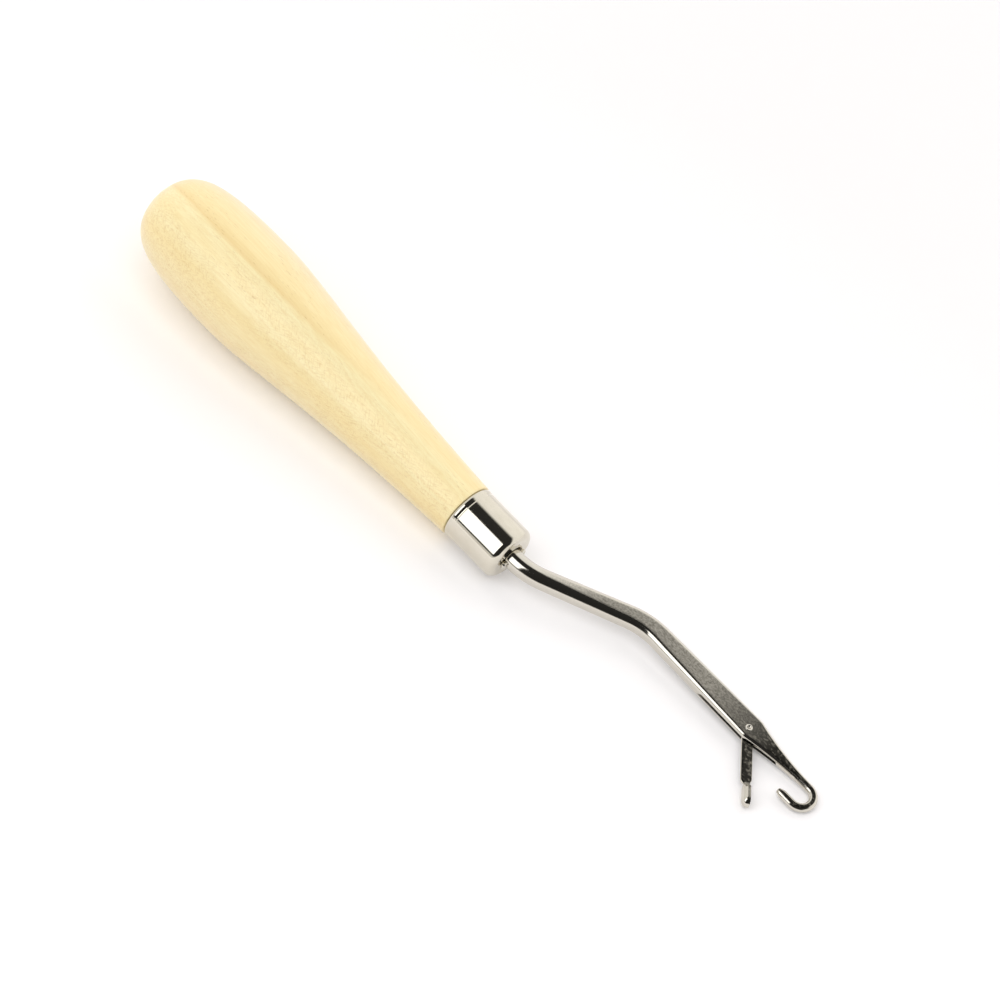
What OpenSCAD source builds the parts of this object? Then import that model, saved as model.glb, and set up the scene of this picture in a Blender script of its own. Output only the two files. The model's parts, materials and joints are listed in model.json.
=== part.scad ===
// Latch hook tool: a turned wooden handle, a drawn metal ferrule, a cranked steel shank
// that ends in an open hook, and a latch that swings on a rivet and closes the hook.
// Every piece is drawn in tool coordinates: X runs along the handle towards the hook,
// with zero at the ferrule's front face, Y points to the side the shank is cranked to,
// and Z runs along the rivet. The whole tool is then laid down as it rests on a table.

/* [Handle] */
// Length of the wood that shows, from the ferrule to the butt
handle_len = 84; // [80:1:100]
// Greatest diameter of the handle
handle_d = 21.4; // [18:0.2:26]
// Diameter of the wood where it meets the ferrule
handle_neck_d = 11.2; // [11:0.1:12.4]
// Distance from the ferrule to the greatest diameter
bulge_reach = 60; // [54:1:64]
// Distance over which the slim neck of the handle runs nearly straight
neck_reach = 38; // [28:1:40]
// Widening of the neck over that distance, on the radius
neck_flare = 1.75; // [0.6:0.05:2.4]
// Distance in front of the greatest diameter that stays full
bulge_front = 12; // [8:1:16]
// Distance behind the greatest diameter that stays full
bulge_back = 19; // [12:1:20]
// Radius that pulls the butt's end face flat: more is blunter
butt_face_r = 9; // [6:0.5:10]

/* [Ferrule] */
// Length of the ferrule
ferrule_len = 12; // [9:0.5:18]
// Outer diameter of the ferrule
ferrule_d = 11; // [10:0.1:11]
// Wall of the ferrule
ferrule_wall = 0.5; // [0.3:0.1:0.8]
// Radius of the ferrule's front corner
ferrule_corner = 1.4; // [1:0.1:2]
// Space all round the shank in the ferrule's front hole
ferrule_hole_gap = 0.4; // [0.2:0.05:0.6]
// Space between the wood inside the ferrule and its front wall
spigot_gap = 0.4; // [0.2:0.1:1]

/* [Shank] */
// Diameter of the shank's wire
wire_d = 3.9; // [3.6:0.1:4.1]
// Length of the tang inside the handle, from the ferrule's front face
tang_len = 46; // [30:1:60]
// Chamfer at the tang's end
tang_chamfer = 0.9; // [0.4:0.1:1.4]
// Length of the shank in front of the ferrule
reach = 69.35; // [67:0.05:76]
// Distance from the ferrule to the corner of the first bend
first_bend = 4.05; // [3.8:0.05:8]
// Angle of the cranked run to the handle's axis
crank_angle = 26.8; // [24:0.2:30]
// Distance from the handle's axis to the middle of the front run
crank_offset = 10.45; // [8:0.05:12]
// Radius of both bends, at the middle of the wire
bend_r = 14; // [7:0.5:15]
// Width of the pressed front run at its fullest
flat_w = 5.1; // [4.6:0.1:5.4]
// Thickness of the pressed front run at its fullest
flat_t = 2.26; // [2.1:0.02:2.32]
// Radius of the pressed run's rounded sides
side_r = 1.17; // [1.17:0.01:1.4]
// Distance from the ferrule to where pressing starts
press_start = 6; // [4:0.5:14]
// Distance from the ferrule to where the pressed section is full
press_full = 51; // [36:0.5:51.5]
// Reach of the two stop ears at the ferrule, from the axis
ear_reach = 2.9; // [2.6:0.1:3.6]
// Length of each stop ear along the shank
ear_len = 0.95; // [0.6:0.05:1.4]
// Thickness of each stop ear
ear_t = 1.2; // [0.8:0.1:2]

/* [Hook] */
// Length of the neck and hook, from the shoulder to the hook's end
neck_len = 17.35; // [15:0.05:18]
// Rise of the neck's middle line towards the hook's back
neck_rise = 0.12; // [0:0.02:0.3]
// How suddenly the shoulder narrows into the neck
shoulder_power = 1.95; // [1.5:0.05:3]
// Diameter of the hook's wire
hook_wire_d = 1.65; // [1.4:0.05:1.9]
// Radius of the hook's bend, at the middle of the wire
hook_r = 2.4; // [2.1:0.05:2.6]
// Length of the hook's return leg
hook_leg = 3.3; // [2.8:0.05:3.6]
// Length of the taper at the hook's tip
tip_taper = 1.1; // [0.6:0.1:1.6]
// Diameter of the hook's tip
tip_d = 1.1; // [0.8:0.05:1.3]
// Chamfer at the hook's tip
tip_chamfer = 0.25; // [0.1:0.05:0.35]

/* [Latch] */
// Distance from the shoulder back to the rivet
rivet_setback = 0.8; // [0.5:0.1:2]
// Distance of the rivet below the middle of the front run
rivet_drop = 0.55; // [0.2:0.05:0.7]
// Diameter of the rivet
rivet_d = 1.4; // [1.1:0.05:1.6]
// Height of each rivet end above the shank's flat
rivet_proud = 0.06; // [0.03:0.01:0.15]
// Clearance all round the rivet in the latch's bore
rivet_clearance = 0.05; // [0.03:0.01:0.09]
// Length of the latch from the rivet to its tip
latch_len = 15.4; // [15.2:0.1:15.8]
// Width of the latch's blade
blade_w = 2.1; // [1.9:0.05:2.2]
// Height of the latch's round end above the blade's edges
hub_rise = 0.1; // [0:0.05:0.2]
// Thickness of the latch's blade
blade_t = 0.5; // [0.4:0.05:0.6]
// Clearance of the blade on each side in the slot
slot_clearance = 0.08; // [0.06:0.01:0.12]
// Clearance between the latch's round end and the slot's floor
floor_clearance = 0.2; // [0.15:0.05:0.3]
// Distance from the rivet forward to where the slot runs out of the neck
slot_front = 7.9; // [7.4:0.1:8.6]
// Length of the latch's spoon
spoon_len = 4.4; // [4.1:0.1:4.6]
// Width of the spoon across the tool
spoon_w = 2.6; // [2.5:0.05:2.9]
// Depth of the spoon from its back to its rim
spoon_h = 1.35; // [1.25:0.05:1.45]
// Height to which the spoon's rounded back leaves its sides straight
spoon_side = 0.15; // [0.05:0.05:0.4]
// Radius of the spoon's hollow
cup_r = 0.95; // [0.9:0.01:1]
// Thickness of the spoon's back under the hollow
cup_floor = 0.4; // [0.35:0.05:0.5]
// Angle of the latch below the shank, as it lies
latch_rest = 47.6; // [30:0.1:90]
// Angle of the latch below the shank when its spoon holds the hook's tip
latch_closed = 23; // [23:0.5:26]
// Angle of the latch below the shank when it is swung right back
latch_open = 163; // [150:1:163]

/* [Hidden] */
$fn = 48;
SWEEP_SIDES = 24;
BEND_STEPS = 6;
HOOK_STEPS = 10;
PRESS_STEPS = 5;
NECK_STEPS = 7;
PROFILE_STEPS = 14;
SETTLE_STEPS = 24;
// How suddenly the neck thins across its flats
THINNING = 1.5;
// Overlap that makes a cut run past the face it opens
PAST = 0.5;

wire_r = wire_d / 2;
spigot_r = ferrule_d / 2 - ferrule_wall;
spigot_front = -ferrule_wall - spigot_gap;
ferrule_hole_r = wire_r + ferrule_hole_gap;
neck_y = crank_offset + neck_rise;
hook_wire_r = hook_wire_d / 2;
hook_centre = [reach - hook_wire_r - hook_r, neck_y - hook_r];
shoulder_x = reach - neck_len;
rivet_at = [shoulder_x - rivet_setback, crank_offset - rivet_drop];
bend_setback = bend_r * tan(crank_angle / 2);
first_start = first_bend - bend_setback;
second_end = first_bend + crank_offset / tan(crank_angle) + bend_setback;
hub_r = blade_w / 2 + hub_rise;
slot_w = blade_t + 2 * slot_clearance;
slot_floor = rivet_at.y + hub_r + floor_clearance;
blade_end = latch_len - spoon_len;
spoon_mid = latch_len - spoon_w / 2;
spoon_back_r = spoon_w / 2 + spoon_side;

// Point on a cubic curve through p[0] and p[3], pulled towards p[1] and p[2]
function curve(p, s) =
    pow(1 - s, 3) * p[0] + 3 * pow(1 - s, 2) * s * p[1]
    + 3 * (1 - s) * s * s * p[2] + pow(s, 3) * p[3];

// Share of the way from a to b that x has gone, held between 0 and 1
function share(x, a, b) = min(1, max(0, (x - a) / (b - a)));

function mix(a, b, s) = a + (b - a) * s;

// Handle's outline as [distance behind the ferrule, radius], from neck to butt
function handle_outline() = concat(
    [for (i = [0 : PROFILE_STEPS]) curve([
        [0, handle_neck_d / 2],
        [neck_reach, handle_neck_d / 2 + neck_flare],
        [bulge_reach - bulge_front, handle_d / 2],
        [bulge_reach, handle_d / 2]], i / PROFILE_STEPS)],
    [for (i = [1 : PROFILE_STEPS]) curve([
        [bulge_reach, handle_d / 2],
        [bulge_reach + bulge_back, handle_d / 2],
        [handle_len, butt_face_r],
        [handle_len, 0]], i / PROFILE_STEPS)]);

// Section of the shank at x before the hook, as [half width, half thickness, side radius]
function shank_section(x) =
    let (press = share(x, press_start, press_full),
         neck = 1 - share(x, shoulder_x, hook_centre.x),
         thin = pow(neck, THINNING))
    [mix(hook_wire_r, mix(wire_r, flat_w / 2, press), pow(neck, shoulder_power)),
     mix(hook_wire_r, mix(wire_r, flat_t / 2, press), thin),
     mix(hook_wire_r, mix(wire_r, side_r, press), thin)];

function round_section(r) = [r, r, r];

// Stations along the shank as [x, y, heading, section], from the tang's end to the tip
function shank_stations() = concat(
    [[-tang_len, 0, 0, round_section(wire_r - tang_chamfer)],
     [tang_chamfer - tang_len, 0, 0, round_section(wire_r)]],
    [for (i = [0 : BEND_STEPS])
        let (a = crank_angle * i / BEND_STEPS, x = first_start + bend_r * sin(a))
        [x, bend_r * (1 - cos(a)), a, shank_section(x)]],
    [for (i = [BEND_STEPS : -1 : 0])
        let (a = crank_angle * i / BEND_STEPS, x = second_end - bend_r * sin(a))
        [x, crank_offset - bend_r * (1 - cos(a)), a, shank_section(x)]],
    [for (i = [1 : PRESS_STEPS])
        let (x = mix(second_end, shoulder_x, i / PRESS_STEPS))
        [x, crank_offset, 0, shank_section(x)]],
    [for (i = [1 : NECK_STEPS])
        let (x = mix(shoulder_x, hook_centre.x, i / NECK_STEPS))
        [x, crank_offset + neck_rise * i / NECK_STEPS, 0, shank_section(x)]],
    [for (i = [1 : HOOK_STEPS])
        let (a = 180 * i / HOOK_STEPS)
        [hook_centre.x + hook_r * sin(a), hook_centre.y + hook_r * cos(a), -a,
         round_section(hook_wire_r)]],
    [for (end = [[tip_taper, hook_wire_r], [tip_chamfer, tip_d / 2],
                 [0, tip_d / 2 - tip_chamfer]])
        [hook_centre.x - hook_leg + end[0], hook_centre.y - hook_r, -180,
         round_section(end[1])]]);

// One ring of the sweep, square to the heading: round sides with a flat pressed on each face
function ring(station) =
    let (heading = station[2], half_t = station[3][1], side = station[3][2],
         straight = max(0, station[3][0] - side))
    [for (i = [0 : SWEEP_SIDES - 1])
        let (a = 360 * (i + 0.5) / SWEEP_SIDES,
             across = straight * sign(cos(a)) + side * cos(a),
             up = max(-half_t, min(half_t, side * sin(a))))
        [station[0] - across * sin(heading), station[1] + across * cos(heading), up]];

// Solid swept through the stations, closed at both ends
module sweep(stations) {
    n = SWEEP_SIDES;
    last = len(stations) - 1;
    points = [for (s = stations) each ring(s)];
    sides = [for (k = [0 : last - 1], i = [0 : n - 1])
        let (a = k * n + i, b = k * n + (i + 1) % n)
        each [[a, b + n, b], [a, a + n, b + n]]];
    caps = [[for (i = [0 : n - 1]) i], [for (i = [n - 1 : -1 : 0]) last * n + i]];
    polyhedron(points, concat(sides, caps));
}

// How far a place in tool coordinates reaches down once the tool is tilted and rolled
function depth(p, tilt, roll) =
    p.x * sin(tilt) - cos(tilt) * (p.y * sin(roll) + p.z * cos(roll));

function handle_depth(tilt) =
    max([for (p = handle_outline()) p[1] * cos(tilt) - (p[0] + ferrule_len) * sin(tilt)]);

function ferrule_depth(tilt) =
    (ferrule_d / 2 - ferrule_corner) * cos(tilt) - ferrule_corner * sin(tilt) + ferrule_corner;

function hook_bend() = [for (a = [0 : 10 : 180]) hook_centre + hook_r * [sin(a), cos(a)]];

// Roll at which the hook just touches the surface that the handle lies on
function hook_roll(tilt) =
    asin(max([for (p = hook_bend())
        (p.x * sin(tilt) + hook_wire_r - handle_depth(tilt)) / (p.y * cos(tilt))]));

function spoon_depth(tilt, roll) =
    depth([rivet_at.x + spoon_mid * cos(latch_rest),
           rivet_at.y - spoon_mid * sin(latch_rest), -spoon_w / 2], tilt, roll);

// Tilt at which the ferrule or the spoon touches too, found by halving
function settled_tilt(low = 0, high = 12, left = SETTLE_STEPS) =
    left == 0 ? (low + high) / 2 :
    let (mid = (low + high) / 2,
         lowest = max(ferrule_depth(mid), spoon_depth(mid, hook_roll(mid))))
    lowest < handle_depth(mid) ? settled_tilt(mid, high, left - 1)
                               : settled_tilt(low, mid, left - 1);

rest_tilt = settled_tilt();
rest_roll = hook_roll(rest_tilt);

// Ends of the lying tool: along the table at the butt and the hook, and across it
butt_end = max([for (p = handle_outline())
    (p[0] + ferrule_len) * cos(rest_tilt) + p[1] * sin(rest_tilt)]);
hook_end = max([for (p = hook_bend())
    p.x * cos(rest_tilt) + p.y * sin(rest_roll) * sin(rest_tilt) + hook_wire_r]);
crank_side = max(handle_d / 2,
    (crank_offset + flat_w / 2) * cos(rest_roll));
rest_shift = [(butt_end - hook_end) / 2, (handle_d / 2 - crank_side) / 2,
              handle_depth(rest_tilt)];

// Lays a piece from tool coordinates down on the table, with the origin under its middle
module lay_down() {
    translate(rest_shift) rotate([rest_roll, rest_tilt, 0]) children();
}

function laid(p) =
    let (y = p.y * cos(rest_roll) - p.z * sin(rest_roll),
         z = p.y * sin(rest_roll) + p.z * cos(rest_roll))
    [p.x * cos(rest_tilt) + z * sin(rest_tilt), y, z * cos(rest_tilt) - p.x * sin(rest_tilt)];

// Where the joint and the grip lie on the laid down tool
echo(tilt = rest_tilt, roll = rest_roll, shift = rest_shift);
echo(rivet = laid([rivet_at.x, rivet_at.y, 0]) + rest_shift, rivet_axis = laid([0, 0, 1]));
echo(latch_range = [latch_rest - latch_open, latch_rest - latch_closed]);
echo(grip = laid([-ferrule_len - bulge_reach, 0, 0]) + rest_shift, grip_axis = laid([-1, 0, 0]));

// Turned profile whose own axis points to the hook
module turned() {
    rotate([0, 90, 0]) rotate_extrude() children();
}

module handle() {
    color("#f5dea0") lay_down() difference() {
        turned() polygon(concat(
            [[0, spigot_front],
             [spigot_r + ferrule_wall - ferrule_corner, spigot_front],
             [spigot_r, -ferrule_corner],
             [spigot_r, -ferrule_len]],
            [for (p = handle_outline()) [p[1], -ferrule_len - p[0]]]));
        translate([-tang_len, 0, 0]) rotate([0, 90, 0]) cylinder(r = wire_r, h = tang_len);
    }
}

// Half outline of a cup with a round front corner, from its open end at zero
module cup_outline(r, length, corner) {
    square([r - corner, length]);
    square([r, length - corner]);
    translate([r - corner, length - corner]) circle(corner);
}

module ferrule() {
    color("#d8d4cc") lay_down() translate([-ferrule_len, 0, 0]) difference() {
        turned() difference() {
            cup_outline(ferrule_d / 2, ferrule_len, ferrule_corner);
            translate([0, -PAST]) cup_outline(spigot_r, ferrule_len - ferrule_wall + PAST,
                ferrule_corner - ferrule_wall);
        }
        rotate([0, 90, 0]) cylinder(r = ferrule_hole_r, h = ferrule_len + PAST);
    }
}

// Stop ears swaged out of the wire against the ferrule's face
module ears() {
    linear_extrude(ear_t, center = true) {
        translate([0, -ear_reach + ear_len / 2]) square([ear_len, 2 * ear_reach - ear_len]);
        for (side = [-1, 1]) translate([ear_len / 2, side * (ear_reach - ear_len / 2)])
            circle(ear_len / 2);
    }
}

// Slot sawn from the hook's open side, deep at the rivet and running out at both ends,
// and at the rear just deep enough for the blade when the latch is swung right back
module slot() {
    low = crank_offset - flat_w;
    rear = rivet_at.x - blade_end - floor_clearance;
    rear_floor = rivet_at.y - blade_end * sin(latch_open) + blade_w / 2 + floor_clearance;
    front = rivet_at.x + slot_front;
    linear_extrude(slot_w, center = true) polygon([
        [rear, low],
        [rear, rear_floor],
        [rivet_at.x - hub_r, slot_floor],
        [rivet_at.x + hub_r, slot_floor],
        [front, neck_y - shank_section(front)[0]],
        [front, low]]);
}

module shank() {
    color("#9c9a92") lay_down() difference() {
        union() {
            sweep(shank_stations());
            ears();
        }
        slot();
        translate([rivet_at.x, rivet_at.y, -flat_t]) cylinder(d = rivet_d, h = 2 * flat_t);
    }
}

module latch_rivet() {
    color("#b9b6ad") lay_down() translate(rivet_at)
        cylinder(d = rivet_d, h = flat_t + 2 * rivet_proud, center = true);
}

// Spoon at the latch's end: a boat shape with its hollow on the neck's side
module spoon() {
    root = blade_end - blade_w / 2;
    hollow_start = blade_end + cup_r;
    hollow_lift = cup_floor + cup_r - spoon_h / 2;
    difference() {
        intersection() {
            rotate([-90, 0, 0]) linear_extrude(spoon_h, center = true) {
                polygon([
                    [root, -blade_t / 2], [hollow_start, -spoon_w / 2], [spoon_mid, -spoon_w / 2],
                    [spoon_mid, spoon_w / 2], [hollow_start, spoon_w / 2], [root, blade_t / 2]]);
                translate([spoon_mid, 0]) circle(d = spoon_w);
            }
            translate([root, spoon_back_r - spoon_h / 2, 0]) rotate([0, 90, 0])
                cylinder(r = spoon_back_r, h = latch_len - root + PAST);
        }
        translate([hollow_start, hollow_lift, 0]) {
            rotate([0, 90, 0]) cylinder(r = cup_r, h = spoon_mid - hollow_start);
            sphere(cup_r);
        }
        translate([spoon_mid, hollow_lift, 0]) sphere(cup_r);
    }
}

module latch() {
    color("#6f6d66") lay_down() translate(rivet_at) rotate([0, 0, -latch_rest]) {
        difference() {
            linear_extrude(blade_t, center = true) {
                circle(hub_r);
                translate([0, -blade_w / 2]) square([blade_end - blade_w / 2, blade_w]);
                translate([blade_end - blade_w / 2, 0]) circle(d = blade_w);
            }
            cylinder(r = rivet_d / 2 + rivet_clearance, h = 2 * blade_t, center = true);
        }
        spoon();
    }
}

handle();
ferrule();
shank();
latch_rivet();
latch();
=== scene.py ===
"""Looks of the latch hook tool: turned handle, bright ferrule, pressed steel shank, latch."""

import json
import logging
from collections.abc import Callable, Sequence
from dataclasses import dataclass
from enum import Enum
from functools import cached_property, partial
from math import asin, copysign, cos, degrees, pi, radians, sin, sqrt, tan, tau
from typing import ClassVar

import bmesh
import bpy
from mathutils import Matrix, Vector

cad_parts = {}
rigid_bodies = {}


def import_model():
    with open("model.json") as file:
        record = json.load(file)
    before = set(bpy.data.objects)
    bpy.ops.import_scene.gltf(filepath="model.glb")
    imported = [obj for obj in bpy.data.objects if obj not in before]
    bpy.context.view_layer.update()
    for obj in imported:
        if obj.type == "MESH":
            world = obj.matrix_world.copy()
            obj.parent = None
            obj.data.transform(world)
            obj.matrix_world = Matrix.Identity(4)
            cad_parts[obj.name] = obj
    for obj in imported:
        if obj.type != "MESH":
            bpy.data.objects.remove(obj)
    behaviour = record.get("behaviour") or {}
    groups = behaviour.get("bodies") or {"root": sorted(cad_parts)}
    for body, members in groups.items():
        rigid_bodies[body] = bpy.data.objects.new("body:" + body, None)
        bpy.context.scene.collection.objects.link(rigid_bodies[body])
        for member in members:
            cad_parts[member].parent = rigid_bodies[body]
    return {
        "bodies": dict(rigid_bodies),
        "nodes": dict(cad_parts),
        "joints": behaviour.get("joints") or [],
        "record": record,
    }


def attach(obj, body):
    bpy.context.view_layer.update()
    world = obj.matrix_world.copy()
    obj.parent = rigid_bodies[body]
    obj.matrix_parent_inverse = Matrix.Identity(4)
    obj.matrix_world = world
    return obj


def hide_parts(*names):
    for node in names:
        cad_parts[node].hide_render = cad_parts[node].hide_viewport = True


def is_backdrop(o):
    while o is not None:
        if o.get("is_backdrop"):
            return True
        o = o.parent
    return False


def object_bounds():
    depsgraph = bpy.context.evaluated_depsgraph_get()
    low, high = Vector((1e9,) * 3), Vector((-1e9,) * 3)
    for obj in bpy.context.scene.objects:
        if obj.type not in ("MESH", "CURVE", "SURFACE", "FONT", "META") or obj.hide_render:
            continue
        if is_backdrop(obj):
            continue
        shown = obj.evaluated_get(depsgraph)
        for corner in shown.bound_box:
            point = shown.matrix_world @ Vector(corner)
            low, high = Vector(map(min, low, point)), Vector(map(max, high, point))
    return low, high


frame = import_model()
cad_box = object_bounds()

LOG = logging.getLogger("latch_hook_tool")
MM = 0.001
# Points of a skin, and of a finished solid, that lie closer than this in mm become one.
SKIN_WELD = 0.002
SOLID_WELD = 0.0005
# A span in mm that lies beyond the tool, for what one of its finishes doesn't show.
NOWHERE = (80.0, 90.0)
# What Blender's names for node types start with.
NODE_FAMILIES = ("ShaderNode", "GeometryNode", "Node")

Point = tuple[float, float]
Triple = tuple[float, float, float]
# Two ends of a range, and the two values that it is spread over.
Spread = tuple[float, float, float, float]
Material = bpy.types.Material
Object = bpy.types.Object
Socket = bpy.types.NodeSocket
NodeInputs = dict[str, object] | Sequence[object]
NodeAdder = Callable[..., Socket]
Stops = Sequence[tuple[float, str | float]]
Sums = Sequence[tuple[str | float, ...]]


class Body(Enum):
    """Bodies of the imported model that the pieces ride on."""

    TOOL = "tool"
    LATCH = "latch"


class Cut(Enum):
    """What one solid does to another."""

    JOIN = "UNION"
    TAKE_AWAY = "DIFFERENCE"


def linear(code: str) -> tuple[float, float, float, float]:
    """Turn an sRGB hex colour into linear light.

    Args:
        code: Colour as six hex digits after a hash.

    Returns:
        Linear red, green, blue and an alpha of one.
    """
    parts = [int(code[i:i + 2], 16) / 255 for i in (1, 3, 5)]
    red, green, blue = (c / 12.92 if c <= 0.04045 else ((c + 0.055) / 1.055) ** 2.4 for c in parts)
    return red, green, blue, 1.0


def mix(a: float, b: float, part: float) -> float:
    """Return the value that lies the given part of the way from a to b."""
    return a + (b - a) * part


def share(x: float, a: float, b: float) -> float:
    """Return how far x has gone from a to b, held between 0 and 1."""
    return min(1.0, max(0.0, (x - a) / (b - a)))


def add_node(
    tree: bpy.types.NodeTree,
    kind: str,
    inputs: NodeInputs = (),
    stops: Stops = (),
    out: str | None = None,
    **settings: object,
) -> Socket | None:
    """Add a node with its settings, values and links.

    Args:
        tree: Tree that gets the node.
        kind: Blender's name for the node type, without its family.
        inputs: Values, or sockets to link from, by name or in the order of the inputs
            that the settings leave in use.
        stops: Places and hex colours or grey levels of a colour ramp.
        out: Name of the wanted output, where it isn't the first one in use.
        settings: Properties of the node, set before its inputs.

    Returns:
        The wanted output, or nothing for a node without outputs.
    """
    kinds = (family + kind for family in NODE_FAMILIES)
    node = tree.nodes.new(next(name for name in kinds if hasattr(bpy.types, name)))
    for name, value in settings.items():
        setattr(node, name, value)
    used = [s for s in node.inputs if s.enabled]
    if isinstance(inputs, dict):
        named = {s.name: s for s in reversed(used)}
        used, inputs = [named[name] for name in inputs], inputs.values()
    for socket, value in zip(used, inputs):
        if isinstance(value, Socket):
            tree.links.new(value, socket)
        else:
            socket.default_value = value
    if stops:
        ramp = node.color_ramp.elements
        while len(ramp) < len(stops):
            ramp.new(1.0)
        for element, (place, colour) in zip(ramp, stops):
            element.position = place
            element.color = linear(colour) if isinstance(colour, str) else (colour,) * 3 + (1.0,)
    return next((s for s in node.outputs if s.enabled and out in (None, s.name)), None)


def cleared(data: Material | bpy.types.World) -> NodeAdder:
    """Clear the nodes of a material or world.

    Args:
        data: The material or world.

    Returns:
        A function that adds a node to it.
    """
    data.use_nodes = True
    data.node_tree.nodes.clear()
    return partial(add_node, data.node_tree)


# Places and shapes


@dataclass(frozen=True)
class ToolFrame:
    """The tool's own axes: X to the hook, Y to the crank's side, Z along the rivet."""

    origin: Vector
    along: Vector
    aside: Vector
    up: Vector

    @classmethod
    def from_frame(cls, packed: dict, grip_behind_face: float) -> "ToolFrame":
        """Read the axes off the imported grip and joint.

        Args:
            grip_behind_face: Distance in mm from the ferrule's face back to the grip's place.

        Returns:
            The axes, with their origin at the ferrule's front face.
        """
        grip = next(m for m in packed["record"]["mounts"] if m["name"] == "handle_grip")
        joint = next(j for j in packed["joints"] if j["name"] == "latch_pivot")
        along = -Vector(grip["axis"]).normalized()
        up = Vector(joint["axis"])
        up = (up - along * up.dot(along)).normalized()
        origin = Vector(grip["pos_m"]) + along * grip_behind_face * MM
        return cls(origin, along, up.cross(along), up)

    def turn(self) -> Matrix:
        """Return the turn from the tool's axes to the world's."""
        return Matrix((self.along, self.aside, self.up)).transposed()

    def matrix(self) -> Matrix:
        """Return the move from tool millimetres to metres in the world."""
        return Matrix.Translation(self.origin) @ self.turn().to_4x4() @ Matrix.Scale(MM, 4)


@dataclass(frozen=True)
class Station:
    """One ring of a swept piece, in tool millimetres, square to its heading."""

    x: float
    y: float
    heading: float
    half_w: float
    half_t: float
    side: float
    bluntness: float = 1.0


@dataclass(frozen=True)
class RingPoint:
    """One point round a ring: an angle on a round side, and which side it leans to."""

    angle: float
    lean: float


def round_ring(count: int) -> list[RingPoint]:
    """Return the points of a plain round ring."""
    return [RingPoint(tau * i / count, 0.0) for i in range(count)]


def pressed_ring(side_steps: int, flat_steps: int) -> list[RingPoint]:
    """Return a ring with two round sides and two flats.

    Args:
        side_steps: Steps round each side.
        flat_steps: Steps across each flat.

    Returns:
        The points, in order round the ring.
    """
    points: list[RingPoint] = []
    for turn, lean in ((0.0, 1.0), (pi, -1.0)):
        points += [RingPoint(turn - pi / 2 + pi * i / side_steps, lean) for i in range(side_steps)]
        points += [RingPoint(turn + pi / 2, lean * (1 - 2 * i / flat_steps))
                   for i in range(flat_steps)]
    return points


def turned_station(x: float, radius: float) -> Station:
    """Return a round station on the tool's own axis."""
    return Station(x, 0.0, 0.0, radius, radius, radius)


def curve_points(pulls: Sequence[Point], steps: int) -> list[Point]:
    """Return points on the cubic curve through the first and last of four points.

    Args:
        pulls: The curve's two ends, with the points it is pulled towards between them.
        steps: Number of steps along the curve.

    Returns:
        The points, both ends among them.
    """
    points = []
    for i in range(steps + 1):
        s = i / steps
        weights = ((1 - s) ** 3, 3 * (1 - s) ** 2 * s, 3 * (1 - s) * s * s, s ** 3)
        points.append(tuple(sum(w * p[k] for w, p in zip(weights, pulls)) for k in (0, 1)))
    return points


def arc_points(centre: Point, radius: float, start: float, end: float, steps: int) -> list[Point]:
    """Return points on an arc.

    Args:
        centre: Middle of the arc.
        radius: Its radius.
        start: Angle of the first point, in degrees.
        end: Angle of the last point, in degrees.
        steps: Number of steps along the arc.

    Returns:
        The points, both ends among them.
    """
    angles = [radians(mix(start, end, i / steps)) for i in range(steps + 1)]
    return [(centre[0] + radius * cos(a), centre[1] + radius * sin(a)) for a in angles]


def circle_points(centre: Point, radius: float, count: int = 48) -> list[Point]:
    """Return points all round a circle."""
    return arc_points(centre, radius, 0, 360 - 360 / count, count - 1)


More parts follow.
